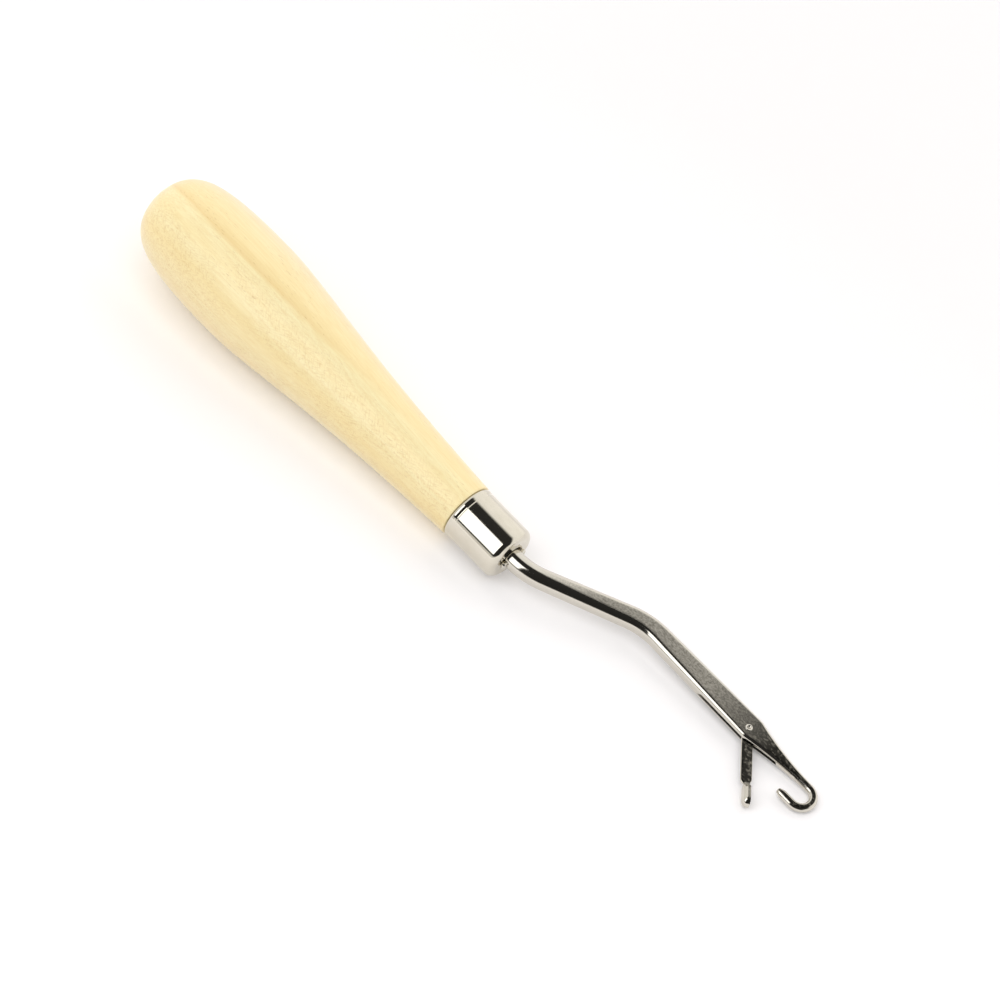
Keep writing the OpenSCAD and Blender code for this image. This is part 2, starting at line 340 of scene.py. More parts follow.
class RingSweep:
    """Geometry Nodes tree that skins rings along stations, welded shut where they meet.

    The input mesh is a chain of points: first the stations, then the points round one ring.
    A station holds its place, heading, half width, half thickness, side radius and how
    blunt its corners are, and a ring point holds an angle and a lean, all as attributes.
    """

    STATION_SIZES = ("heading", "half_w", "half_t", "side", "bluntness")
    RING_SIZES = ("angle", "lean")
    SOCKETS = (("Chain", "Geometry", "INPUT"), ("Stations", "Int", "INPUT"),
               ("Around", "Int", "INPUT"), ("Weld", "Float", "INPUT"),
               ("Material", "Material", "INPUT"), ("Skin", "Geometry", "OUTPUT"))
    # Each line is a result, its calculation, and the numbers or results that it works on.
    # The grid's rows are stations, and its last column lies on the first to close the ring.
    PLACES: Sums = (
        ("columns", "ADD", "Around", 1.0), ("middle", "ADD", "index", 0.5),
        ("rows", "DIVIDE", "middle", "columns"), ("row", "FLOOR", "rows"),
        ("station", "ROUND", "row"), ("passed", "MULTIPLY", "row", "columns"),
        ("column", "SUBTRACT", "index", "passed"), ("closed", "MODULO", "column", "Around"),
        ("ring", "ADD", "closed", "Stations"), ("ring_point", "ROUND", "ring"))
    # A blunt side is a superellipse: the cosine or sine is raised to a power below one.
    BLUNT: Sums = (
        ("size", "ABSOLUTE", "wave"), ("sign", "SIGN", "wave"),
        ("blunt", "POWER", "size", "bluntness"), ("reach", "MULTIPLY", "blunt", "side"))
    SECTION: Sums = (
        ("spare", "SUBTRACT", "half_w", "side"), ("straight", "MAXIMUM", "spare", 0.0),
        ("leaning", "MULTIPLY", "straight", "lean"), ("across", "ADD", "leaning", "COSINE"),
        ("capped", "MINIMUM", "SINE", "half_t"), ("under", "MULTIPLY", "half_t", -1.0),
        ("Z", "MAXIMUM", "capped", "under"), ("turned", "SINE", "heading"),
        ("back", "MULTIPLY", "turned", -1.0), ("X", "MULTIPLY", "across", "back"),
        ("ahead", "COSINE", "heading"), ("Y", "MULTIPLY", "across", "ahead"))

    def __init__(self) -> None:
        """Build the tree once, for every piece that is swept or turned."""
        self.tree = bpy.data.node_groups.new("rings_along_stations", "GeometryNodeTree")
        self.keys = {}
        for name, kind, way in self.SOCKETS:
            item = self.tree.interface.new_socket(
                name=name, in_out=way, socket_type="NodeSocket" + kind)
            self.keys[name] = item.identifier
        self.add = partial(add_node, self.tree)
        given = self.add("GroupInput").node.outputs
        self.known = {socket.name: socket for socket in given if socket.name}
        self.lay_out()

    def work_out(self, sums: Sums) -> None:
        """Add one node for each sum, and keep its result by its name.

        Args:
            sums: The sums, in order.
        """
        for name, operation, *terms in sums:
            values = [self.known.get(term, term) for term in terms]
            self.known[name] = self.add("Math", values, operation=operation)

    def lay_out(self) -> None:
        """Lay out the tree: a grid of points, each moved to its place on its ring."""
        add, known = self.add, self.known
        known["index"] = add("InputIndex")
        self.work_out(self.PLACES)
        for place, names in (("station", self.STATION_SIZES), ("ring_point", self.RING_SIZES)):
            for name in names:
                value = add("InputNamedAttribute", (name,), data_type="FLOAT")
                known[name] = add("SampleIndex", (
                    known["Chain"], value, known[place]), data_type="FLOAT")
        centre = add("SampleIndex", (
            known["Chain"], add("InputPosition"), known["station"]),
            data_type="FLOAT_VECTOR")
        for way in ("COSINE", "SINE"):
            self.work_out((("wave", way, "angle"), *self.BLUNT, (way, "MULTIPLY", "reach", "sign")))
        self.work_out(self.SECTION)
        step = add("CombineXYZ", [known[axis] for axis in "XYZ"])
        place = add("VectorMath", (centre, step), operation="ADD")
        grid = add("MeshGrid", {"Vertices X": known["Stations"], "Vertices Y": known["columns"]})
        moved = add("SetPosition", {"Geometry": grid, "Position": place})
        welded = add("MergeByDistance", {"Geometry": moved, "Distance": known["Weld"]})
        real = add("RealizeInstances", (welded,))
        dressed = add("SetMaterial", {"Geometry": real, "Material": known["Material"]})
        add("GroupOutput", (dressed,))

    def skin(
        self,
        name: str,
        stations: Sequence[Station],
        ring: Sequence[RingPoint],
        material: Material,
    ) -> Object:
        """Skin the stations and keep the result as a plain mesh.

        Args:
            name: Name of the piece.
            stations: Rings in order along the piece, in tool millimetres.
            ring: Points round each ring.
            material: Finish of the skin.

        Returns:
            A new object whose mesh is in tool millimetres.
        """
        places = [(s.x, s.y, 0.0) for s in stations] + [(0.0, 0.0, 0.0)] * len(ring)
        chain = bpy.data.meshes.new(name + "_chain")
        chain.from_pydata(places, [(i, i + 1) for i in range(len(places) - 1)], [])
        for key in self.STATION_SIZES + self.RING_SIZES:
            layer = chain.attributes.new(key, "FLOAT", "POINT")
            layer.data.foreach_set("value", [getattr(p, key, 0.0) for p in [*stations, *ring]])
        inputs = {"Stations": len(stations), "Around": len(ring), "Weld": SKIN_WELD,
                  "Material": material}
        return modified(in_scene(name, chain), "NODES", node_group=self.tree,
                        inputs={self.keys[key]: value for key, value in inputs.items()})


def in_scene(name: str, data: bpy.types.ID) -> Object:
    """Make an object and put it in the scene.

    Args:
        name: Name of the object.
        data: Its mesh, lamp or camera.

    Returns:
        The new object.
    """
    obj = bpy.data.objects.new(name, data)
    bpy.context.scene.collection.objects.link(obj)
    return obj


def modified(
    obj: Object, kind: str, inputs: dict[str, object] | None = None, **settings: object
) -> Object:
    """Work on an object's mesh with one modifier, and keep the result as a plain mesh.

    Args:
        obj: Object that is changed.
        kind: Blender's name for the modifier type.
        inputs: Inputs of a Geometry Nodes tree, by their identifiers.
        settings: Properties of the modifier, set before its inputs.

    Returns:
        The same object, with its new mesh and no modifier.
    """
    modifier = obj.modifiers.new("work", kind)
    for key, value in settings.items():
        setattr(modifier, key, value)
    for key, value in (inputs or {}).items():
        modifier[key] = value
    graph = bpy.context.evaluated_depsgraph_get()
    result = bpy.data.meshes.new_from_object(obj.evaluated_get(graph), depsgraph=graph)
    obj.modifiers.clear()
    old = obj.data
    obj.data = result
    bpy.data.meshes.remove(old)
    return obj


def new_object(
    name: str, points: Sequence[Sequence[float]], faces: Sequence[Sequence[int]]
) -> Object:
    """Make an object from points and faces, with its faces turned outwards.

    Args:
        name: Name of the object.
        points: Corners in tool millimetres.
        faces: Indices of each face's corners.

    Returns:
        The new object.
    """
    mesh = bpy.data.meshes.new(name)
    mesh.from_pydata(points, [], faces)
    obj = in_scene(name, mesh)
    tidy_faces(obj)
    return obj


def tidy_faces(obj: Object) -> None:
    """Weld doubled points and turn every face outwards.

    Args:
        obj: Object that is changed.
    """
    shape = bmesh.new()
    shape.from_mesh(obj.data)
    bmesh.ops.remove_doubles(shape, verts=shape.verts, dist=SOLID_WELD)
    bmesh.ops.recalc_face_normals(shape, faces=shape.faces)
    shape.to_mesh(obj.data)
    shape.free()


def prism(name: str, outline: Sequence[Point], half_height: float) -> Object:
    """Raise an outline in the tool's XY plane to a solid, as far down as up.

    Args:
        name: Name of the solid.
        outline: Corners of the outline, in order.
        half_height: Height of each face above or below the plane.

    Returns:
        The new object.
    """
    count = len(outline)
    points = [(x, y, z) for z in (-half_height, half_height) for x, y in outline]
    sides = [(i, (i + 1) % count, count + (i + 1) % count, count + i) for i in range(count)]
    caps = [tuple(range(count)), tuple(range(count, 2 * count))]
    return new_object(name, points, sides + caps)


def combine(obj: Object, other: Object, cut: Cut) -> None:
    """Join another solid to an object or take it away, and delete the other."""
    modified(obj, "BOOLEAN", operation=cut.value, solver="EXACT", object=other)
    bpy.data.objects.remove(other)


def soften(obj: Object, width: float, segments: int) -> Object:
    """Round the edges of an object that are sharper than 60 degrees, width in millimetres."""
    return modified(obj, "BEVEL", width=width, segments=segments, limit_method="ANGLE",
                    angle_limit=radians(60.0))


# Finishes


@dataclass(frozen=True)
class Grain:
    """Noise whose grains have a real size in millimetres along each tool axis.

    Its values from low to high are spread from least to most. Detail is the number of finer
    layers, and finer the share of a layer's strength that the next one has.
    """

    size: Triple
    detail: float
    low: float = 0.0
    high: float = 1.0
    least: float = 0.0
    most: float = 1.0
    finer: float = 0.55


@dataclass(frozen=True)
class Finish:
    """What every finish starts from: the tool's axes, its patterns and its material."""

    tool: ToolFrame

    @cached_property
    def material(self) -> Material:
        """The finish's material."""
        return bpy.data.materials.new(self.name)

    @cached_property
    def add(self) -> NodeAdder:
        """The function that adds a node to the finish's material."""
        return cleared(self.material)

    @cached_property
    def place(self) -> Socket:
        """A point's place in tool millimetres, from Object coordinates."""
        return self.add("Mapping", {
            "Vector": self.add("TexCoord", out="Object"), "Location": self.tool.origin,
            "Rotation": self.tool.turn().to_euler(), "Scale": (MM, MM, MM)},
            vector_type="TEXTURE")

    def facing(self, aim: Vector | Socket) -> Socket:
        """Return how squarely the surface faces a direction in the world, from -1 to 1."""
        return self.add("VectorMath", (
            self.add("TexCoord", out="Normal"), aim), operation="DOT_PRODUCT")

    def grains(self, grain: Grain, place: Socket | None = None) -> Socket:
        """Add a noise pattern.

        Args:
            grain: The pattern.
            place: Place in tool millimetres, where it isn't the point's own.

        Returns:
            The pattern's value, from its least to its most.
        """
        scaled = self.add("VectorMath", (place or self.place, grain.size), operation="DIVIDE")
        noise = self.add("TexNoise", (scaled, 1.0, grain.detail, grain.finer))
        return self.add("MapRange", (noise, grain.low, grain.high, grain.least, grain.most))

    def surface(self) -> Socket:
        """Return the finish's own shader."""
        raise NotImplementedError

    def dress(self, mesh: bpy.types.Mesh) -> None:
        """Give a mesh this finish alone.

        Args:
            mesh: Mesh that is dressed.
        """
        self.add("OutputMaterial", {"Surface": self.surface()})
        mesh.materials.clear()
        mesh.materials.append(self.material)


@dataclass(frozen=True)
class SatinWood(Finish):
    """Pale basswood, turned, sanded and given one thin coat of clear satin varnish.

    The eye sees cream-yellow wood with long faint growth lines, one of them plainly darker,
    short fine pores along the grain, faint slanting tool marks and a broad soft highlight.
    """

    name: str = "satin_basswood"
    # Direction across the growth lines, how far out they go in mm, and their colours.
    ring_aim: Triple = (0.0, 0.8386, 0.5446)
    ring_span: float = 11.0
    rings: Stops = (
        (0.02, "#fbe6b0"), (0.14, "#fcebb8"), (0.28, "#fae5aa"), (0.40, "#fdeebb"),
        (0.50, "#fceab2"), (0.62, "#fdefbd"), (0.70, "#fce8b0"), (0.80, "#fbe6ae"),
        (0.98, "#fceabb"))
    # The turning cuts them lengthwise, so they stray up to 0.9 mm over some 34 mm.
    ring_stray: Grain = Grain((34.0, 9.0, 9.0), 1.0, least=-0.9, most=0.9)
    # One late-wood line is darker: sharp on one side, fading on the other and forwards.
    line: Stops = ((0.650, 0.0), (0.678, 1.0), (0.70, 0.55), (0.76, 0.0))
    line_fade: Spread = (-66.0, -36.0, 0.55, 0.18)
    line_colour: str = "#ecc880"
    # Fibres are 0.3 mm across and 7 mm long, drawn a little coarser than real ones.
    fibre: Grain = Grain((7.0, 0.32, 0.32), 3.0)
    fibre_shade: Spread = (0.35, 0.65, 0.0, 0.40)
    fibre_rough: Spread = (0.3, 0.7, 0.46, 0.58)
    fibre_relief: float = 0.35
    fibre_depth: float = 0.04 * MM
    fibre_colour: str = "#efd28c"
    # Pores are dark dashes 0.2 mm wide and 1.7 mm long, in loose patches and on the line.
    pores: Grain = Grain((1.7, 0.18, 0.18), 2.0, 0.62, 0.71)
    pore_patches: Grain = Grain((16.0, 4.0, 4.0), 1.0, 0.45, 0.66, most=0.5)
    pore_colour: str = "#c9a25c"
    # Tool marks are scratches 0.2 mm wide and 1.6 mm long, which slant both ways to the
    # grain, in loose patches on the side that faces mark_side.
    marks: Grain = Grain((1.6, 0.22, 0.22), 2.0, 0.52, 0.66, most=0.30)
    mark_patches: Grain = Grain((20.0, 6.0, 6.0), 2.0, 0.28, 0.50)
    mark_colour: str = "#d9b164"
    mark_slants: Point = (radians(52.0), radians(-24.0))
    mark_axis: Triple = (0.0, -0.6, 0.8)
    mark_side: Triple = (0.0, -0.94, 0.34)
    mark_turn: Spread = (0.5, 0.85, 0.1, 1.0)
    varnish_rough: float = 0.3

    def surface(self) -> Socket:
        """Colour the wood layer by layer, and varnish it.

        Returns:
            The wood's shader.
        """
        add = self.add
        depth = add("VectorMath", (self.place, self.ring_aim), operation="DOT_PRODUCT")
        strayed = add("Math", (depth, self.grains(self.ring_stray)), operation="ADD")
        ring = add("MapRange", (strayed, -self.ring_span, self.ring_span))
        colour = add("ValToRGB", (ring,), self.rings)
        fade = add("MapRange", (add("SeparateXYZ", (self.place,)), *self.line_fade))
        line = add("Math", (add("ValToRGB", (ring,), self.line), fade), operation="MULTIPLY")
        fibre = self.grains(self.fibre)
        patches = add("Math", (self.grains(self.pore_patches), line), operation="MAXIMUM")
        pores = add("Math", (self.grains(self.pores), patches), operation="MULTIPLY")
        layers = [(line, self.line_colour),
                  (add("MapRange", (fibre, *self.fibre_shade)), self.fibre_colour),
                  (pores, self.pore_colour)]
        layers += [(marks, self.mark_colour) for marks in self.tool_marks()]
        for amount, code in layers:
            colour = add("Mix", (amount, colour, linear(code)), data_type="RGBA")
        relief = add("Bump", {
            "Strength": self.fibre_relief, "Distance": self.fibre_depth, "Height": fibre})
        return add("BsdfPrincipled", {
            "Base Color": colour, "Normal": relief,
            "Roughness": add("MapRange", (fibre, *self.fibre_rough)),
            "Coat Weight": 1.0, "Coat Roughness": self.varnish_rough})

    def tool_marks(self) -> list[Socket]:
        """Lay fine tool marks over one side of the wood.

        Returns:
            The strength of the marks of each slant.
        """
        add = self.add
        side = add("MapRange", (
            self.facing(self.tool.turn() @ Vector(self.mark_side)), *self.mark_turn))
        patches = add("Math", (self.grains(self.mark_patches), side), operation="MULTIPLY")
        turned = [add("VectorRotate", {
            "Vector": self.place, "Axis": self.mark_axis, "Angle": slant},
            rotation_type="AXIS_ANGLE") for slant in self.mark_slants]
        return [add("Math", (self.grains(self.marks, place), patches),
                    operation="MULTIPLY") for place in turned]


@dataclass(frozen=True)
class BrightNickel(Finish):
    """Brass tube, drawn, then polished and nickel plated.

    The eye sees a warm white mirror with hard-edged reflections, and faint scratches round it.
    """

    name: str = "bright_nickel_plate"
    light: str = "#dcd7ca"
    dull: str = "#d0cabb"
    # The plating is faintly cloudy, in patches up to 2 mm long.
    clouds: Grain = Grain((2.0, 1.4, 1.4), 2.0)
    # Polishing marks run round the tube, 0.15 mm apart along it.
    marks: Grain = Grain((0.15, 5.0, 5.0), 2.0)
    mark_rough: Spread = (0.3, 0.7, 0.06, 0.12)
    mark_relief: float = 0.08
    mark_depth: float = 0.01 * MM

    def surface(self) -> Socket:
        """Cloud the plating a little and scratch it.

        Returns:
            The plating's shader.
        """
        add = self.add
        marks = self.grains(self.marks)
        relief = add("Bump", {
            "Strength": self.mark_relief, "Distance": self.mark_depth, "Height": marks})
        tone = add("Mix", (
            self.grains(self.clouds), linear(self.light), linear(self.dull)), data_type="RGBA")
        return add("BsdfPrincipled", {
            "Base Color": tone, "Metallic": 1.0, "Normal": relief,
            "Roughness": add("MapRange", (marks, *self.mark_rough))})


@dataclass(frozen=True)
class PlatedSteel(Finish):
    """Steel wire, drawn smooth, pressed between rough dies and thinly nickel plated.

    The eye sees bright smooth sides with fine lines along them, and grainy grey flats
    whose colour is darkened towards the neck, a painted dark reflection.
    """

    name: str = "pressed_plated_steel"
    # Drawing lines on the sides are 0.1 mm apart and 6 mm long.
    lines: Grain = Grain((6.0, 0.1, 0.1), 2.0)
    bright: str = "#d9d5cb"
    bright_line: str = "#c4bfb4"
    # Die marks on the flats are 0.3 to 0.4 mm across.
    pits: Grain = Grain((0.392, 0.28, 0.28), 3.0)
    pit_shade: Point = (0.34, 0.66)
    flat_light: str = "#b3afa5"
    flat_dull: str = "#7e7b73"
    # Worn spots about 0.5 mm across show lighter in the painted dark reflection.
    worn: Grain = Grain((0.7, 0.45, 0.45), 5.0, 0.50, 0.70)
    dark_light: str = "#827e74"
    dark_dull: str = "#2c2b27"
    # Roughness and relief of the sides, then of the flats.
    rough: Point = (0.09, 0.42)
    relief: Point = (0.06, 0.5)
    relief_depth: float = 0.03 * MM
    # Direction of the flats' painted dark reflection, and where it starts and is full, in mm.
    dark_aim: Triple = (1.0, 0.0, 0.0)
    dark_span: Point = (40.0, 57.0)
    # Where the pressing starts to show and shows in full, in mm from the ferrule.
    press_span: Point = (5.0, 17.0)
    # A flat faces the rivet's axis better than this. On the round neck it takes in more, so the
    # painted dark reflection covers some of the neck's round sides too.
    flat_level: float = 0.95
    neck_level: float = 0.88
    level_blur: float = 0.045
    neck_lean: float = radians(9.0)
    neck_span: Point = (55.0, 60.0)

    def flats(self) -> Socket:
        """Tell the pressed faces, which lie square to the rivet, from the round sides.

        Returns:
            One on a pressed face, zero on a side.
        """
        add = self.add
        leaning = (self.tool.up * cos(self.neck_lean) - self.tool.aside * sin(self.neck_lean))
        far = add("SeparateXYZ", (self.place,))
        on_neck = add("MapRange", (far, *self.neck_span))
        aim = add("Mix", (on_neck, self.tool.up, leaning), data_type="VECTOR")
        level = add("Math", (self.facing(aim),), operation="ABSOLUTE")
        least = add("MapRange", (on_neck, 0.0, 1.0, self.flat_level, self.neck_level))
        above = add("Math", (level, least), operation="SUBTRACT")
        flat = add("MapRange", (above, 0.0, self.level_blur), interpolation_type="SMOOTHSTEP")
        pressed = add("MapRange", (far, *self.press_span))
        return add("Math", (flat, pressed), operation="MULTIPLY")

    def surface(self) -> Socket:
        """Keep the sides bright, grain the flats and darken them with a painted dark reflection.

        Returns:
            The steel's shader.
        """
        add = self.add
        pressed = self.flats()
        lines, pits = self.grains(self.lines), self.grains(self.pits)
        specks = add("MapRange", (pits, *self.pit_shade))
        # Painted dark reflection: the flats' colour darkens towards the neck.
        along = add("VectorMath", (self.place, self.dark_aim), operation="DOT_PRODUCT")
        darkness = add("MapRange", (along, *self.dark_span))
        # The dark tone is the painted dark reflection, with lighter worn spots in it.
        side, flat, dark = (
            add("Mix", (pattern, linear(low), linear(high)), data_type="RGBA")
            for pattern, low, high in ((lines, self.bright, self.bright_line),
                                       (specks, self.flat_dull, self.flat_light),
                                       (self.grains(self.worn), self.dark_dull, self.dark_light)))
        face = add("Mix", (darkness, flat, dark), data_type="RGBA")
        tone = add("Mix", (pressed, side, face), data_type="RGBA")
        height = add("Mix", (pressed, lines, pits), data_type="FLOAT")
        rough, strength = (add("MapRange", (pressed, 0.0, 1.0, *ends))
                           for ends in (self.rough, self.relief))
        relief = add("Bump", {
            "Strength": strength, "Distance": self.relief_depth, "Height": height})
        return add("BsdfPrincipled", {
            "Base Color": tone, "Metallic": 1.0, "Roughness": rough, "Normal": relief})


@dataclass(frozen=True)
class WhitePaper(Finish):
    """Matt white background paper, uncoated.

    The eye sees pure white with the tool's soft shadow on it, and so do the mirrors.
    """

    name: str = "white_background_paper"
    light: str = "#f7f5f6"
    dull: str = "#f4f2f3"
    # Paper fibre is a faint cloudiness about 3 mm across, too weak to mark the white.
    clouds_per_metre: float = 350.0
    # Far from the lamps the paper would look grey, so its glow grows with the distance:
    # from where to where in metres, and how strong it is there.
    glow: Spread = (0.12, 0.7, 0.12, 0.6)

    def surface(self) -> Socket:
        """Make the paper glow where the camera or a mirror sees it.

        Returns:
            The paper's shader.
        """
        add = self.add
        coords = add("TexCoord", out="Object")
        fibre = add("TexNoise", (coords, self.clouds_per_metre))
        tone = add("Mix", (fibre, linear(self.dull), linear(self.light)), data_type="RGBA")
        seen = add("Math", (
            add("LightPath", out="Is Camera Ray"),
            add("LightPath", out="Is Glossy Ray")), operation="MAXIMUM")
        away = add("VectorMath", (coords,), operation="LENGTH")
        glow = add("Math", (seen, add("MapRange", (away, *self.glow))), operation="MULTIPLY")
        return add("AddShader", (
            add("BsdfDiffuse", {"Color": tone}),
            add("Emission", {"Strength": glow})))


# Pieces


@dataclass(frozen=True)
class Piece:
    """What every piece has: its names, and how its shape is made, placed and dressed."""

    NAME: ClassVar[str]
    NODE: ClassVar[str]
    SLOT: ClassVar[str] = "plated_steel"
    BODY: ClassVar[Body] = Body.TOOL
    # Edges sharper than this many degrees stay sharp.
    CREASE: ClassVar[float]
    FINISH: ClassVar[type[Finish]] = PlatedSteel

    tool: ToolFrame
    rings: RingSweep

    @cached_property
    def finish(self) -> Finish:
        """The piece's finish."""
        return self.FINISH(self.tool)

    def outline(self) -> list[Point]:
        """Return the places and radii of a turned piece's rings."""
        raise NotImplementedError

    def stations(self) -> list[Station]:
        """Return the rings that the piece is skinned over."""
        return [turned_station(x, r) for x, r in self.outline()]

    def ring(self) -> list[RingPoint]:
        """Return the points round each ring."""
        return round_ring(self.around)

    def shape(self) -> Object:
        """Return the piece's skin, in tool millimetres."""
        return self.rings.skin(self.NAME, self.stations(), self.ring(), self.finish.material)

    def build(self) -> Object:
        """Make the piece, lay it in the frame and let it stand for its CAD node.

        Returns:
            The finished piece.
        """
        obj = self.shape()
        tidy_faces(obj)
        mesh = obj.data
        mesh.transform(self.tool.matrix())
        self.finish.dress(mesh)
        mesh.shade_smooth()
        mesh.set_sharp_from_angle(angle=radians(self.CREASE))
        mesh.update()
        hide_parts(self.NODE)
        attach(obj, self.BODY.value)
        return obj


@dataclass(frozen=True)
class Handle(Piece):
    """Wooden handle, turned to a slim neck and a full butt, with a spigot for the ferrule."""

    NAME = "turned_handle"
    NODE = "handle"
    SLOT = "pale_wood"
    CREASE = 30.0
    FINISH = SatinWood

    length: float = 84.0
    greatest_r: float = 10.7
    neck_r: float = 5.6
    bulge_reach: float = 60.0
    neck_reach: float = 38.0
    neck_flare: float = 1.75
    bulge_front: float = 12.0
    bulge_back: float = 19.0
    butt_face_r: float = 9.0
    shoulder_round: float = 0.25
    # The neck's curve takes over from the rounded shoulder this far behind it.
    shoulder_end: float = 0.5
    spigot_r: float = 5.0
    spigot_front: float = -0.9
    spigot_chamfer: float = 0.9
    ferrule_len: float = 12.0
    bore_r: float = 1.95
    bore_len: float = 46.0
    steps: int = 64
    rim_steps: int = 5
    around: int = 128

    def outline(self) -> list[Point]:
        """Turn the handle: up the bore, over the spigot and back to the butt.

        Returns:
            Places and radii of its rings.
        """
        pulls = [(0.0, self.neck_r), (self.neck_reach, self.neck_r + self.neck_flare)]
        pulls += [(self.bulge_reach + d, self.greatest_r)
                  for d in (-self.bulge_front, 0.0, self.bulge_back)]
        pulls += [(self.length, self.butt_face_r), (self.length, 0.0)]
        wood = curve_points(pulls[:4], self.steps) + curve_points(pulls[3:], self.steps)[1:]
        rim = arc_points((-self.ferrule_len - self.shoulder_round,
                          self.neck_r - self.shoulder_round), self.shoulder_round, 0, 90,
                         self.rim_steps)
        path = [(-self.bore_len, 0.0), (-self.bore_len, self.bore_r),
                (self.spigot_front, self.bore_r),
                (self.spigot_front, self.spigot_r - self.spigot_chamfer),
                (self.spigot_front - self.spigot_chamfer, self.spigot_r),
                (-self.ferrule_len, self.spigot_r)] + rim
        return path + [(-self.ferrule_len - d, r) for d, r in wood if d > self.shoulder_end]


@dataclass(frozen=True)
class Ferrule(Piece):
    """Drawn cup with a rolled rear rim, a round front corner and a hole for the shank."""

    NAME = "drawn_ferrule"
    NODE = "ferrule"
    SLOT = "polished_nickel"
    CREASE = 35.0
    FINISH = BrightNickel

    length: float = 12.0
    rim_r: float = 5.5
    rim_len: float = 1.3
    rim_rise: float = 0.35
    # The groove in front of the rim, and the close rings that keep the tube straight.
    groove_gap: float = 0.12
    groove_half: float = 0.14
    groove_depth: float = 0.05
    rear_hold: float = 0.06
    front_hold: float = 0.08
    tube_r: float = 5.42
    bore_r: float = 5.0
    corner_r: float = 1.4
    wall: float = 0.5
    hole_r: float = 2.35
    hole_round: float = 0.2
    # The rolled rim stops short of half a turn, at this many of its steps.
    rim_steps: int = 14
    rim_end: int = 12
    corner_steps: int = 20
    lip_steps: int = 5
    inside_steps: int = 6
    around: int = 128

    def outline(self) -> list[Point]:
        """Draw the cup: from its rear edge forward outside, and back inside.

        Returns:
            Places and radii of its rings.
        """
        rear = -self.length
        roll = self.rim_len / 2
        rim = [(rear + roll - roll * cos(a), self.rim_r - self.rim_rise * (1 - sin(a)))
               for a in (pi * i / self.rim_steps for i in range(self.rim_end))]
        groove = rear + self.rim_len + self.groove_gap
        front = groove + self.groove_half
        tube = [(x, self.tube_r)
                for x in (front, front + self.rear_hold, -self.corner_r - self.front_hold)]
        corner = arc_points((-self.corner_r, self.tube_r - self.corner_r), self.corner_r, 90, 0,
                            self.corner_steps)
        lip = arc_points((-self.hole_round, self.hole_r + self.hole_round), self.hole_round,
                         0, -90, self.lip_steps)
        inner_r = self.corner_r - self.wall
        inside = arc_points((-self.wall - inner_r, self.bore_r - inner_r), inner_r, 0, 90,
                            self.inside_steps)
        return [(rear, self.bore_r), *rim, (groove, self.tube_r - self.groove_depth), *tube,
                *corner, *lip, (-self.wall, self.hole_r), *inside, (rear, self.bore_r)]


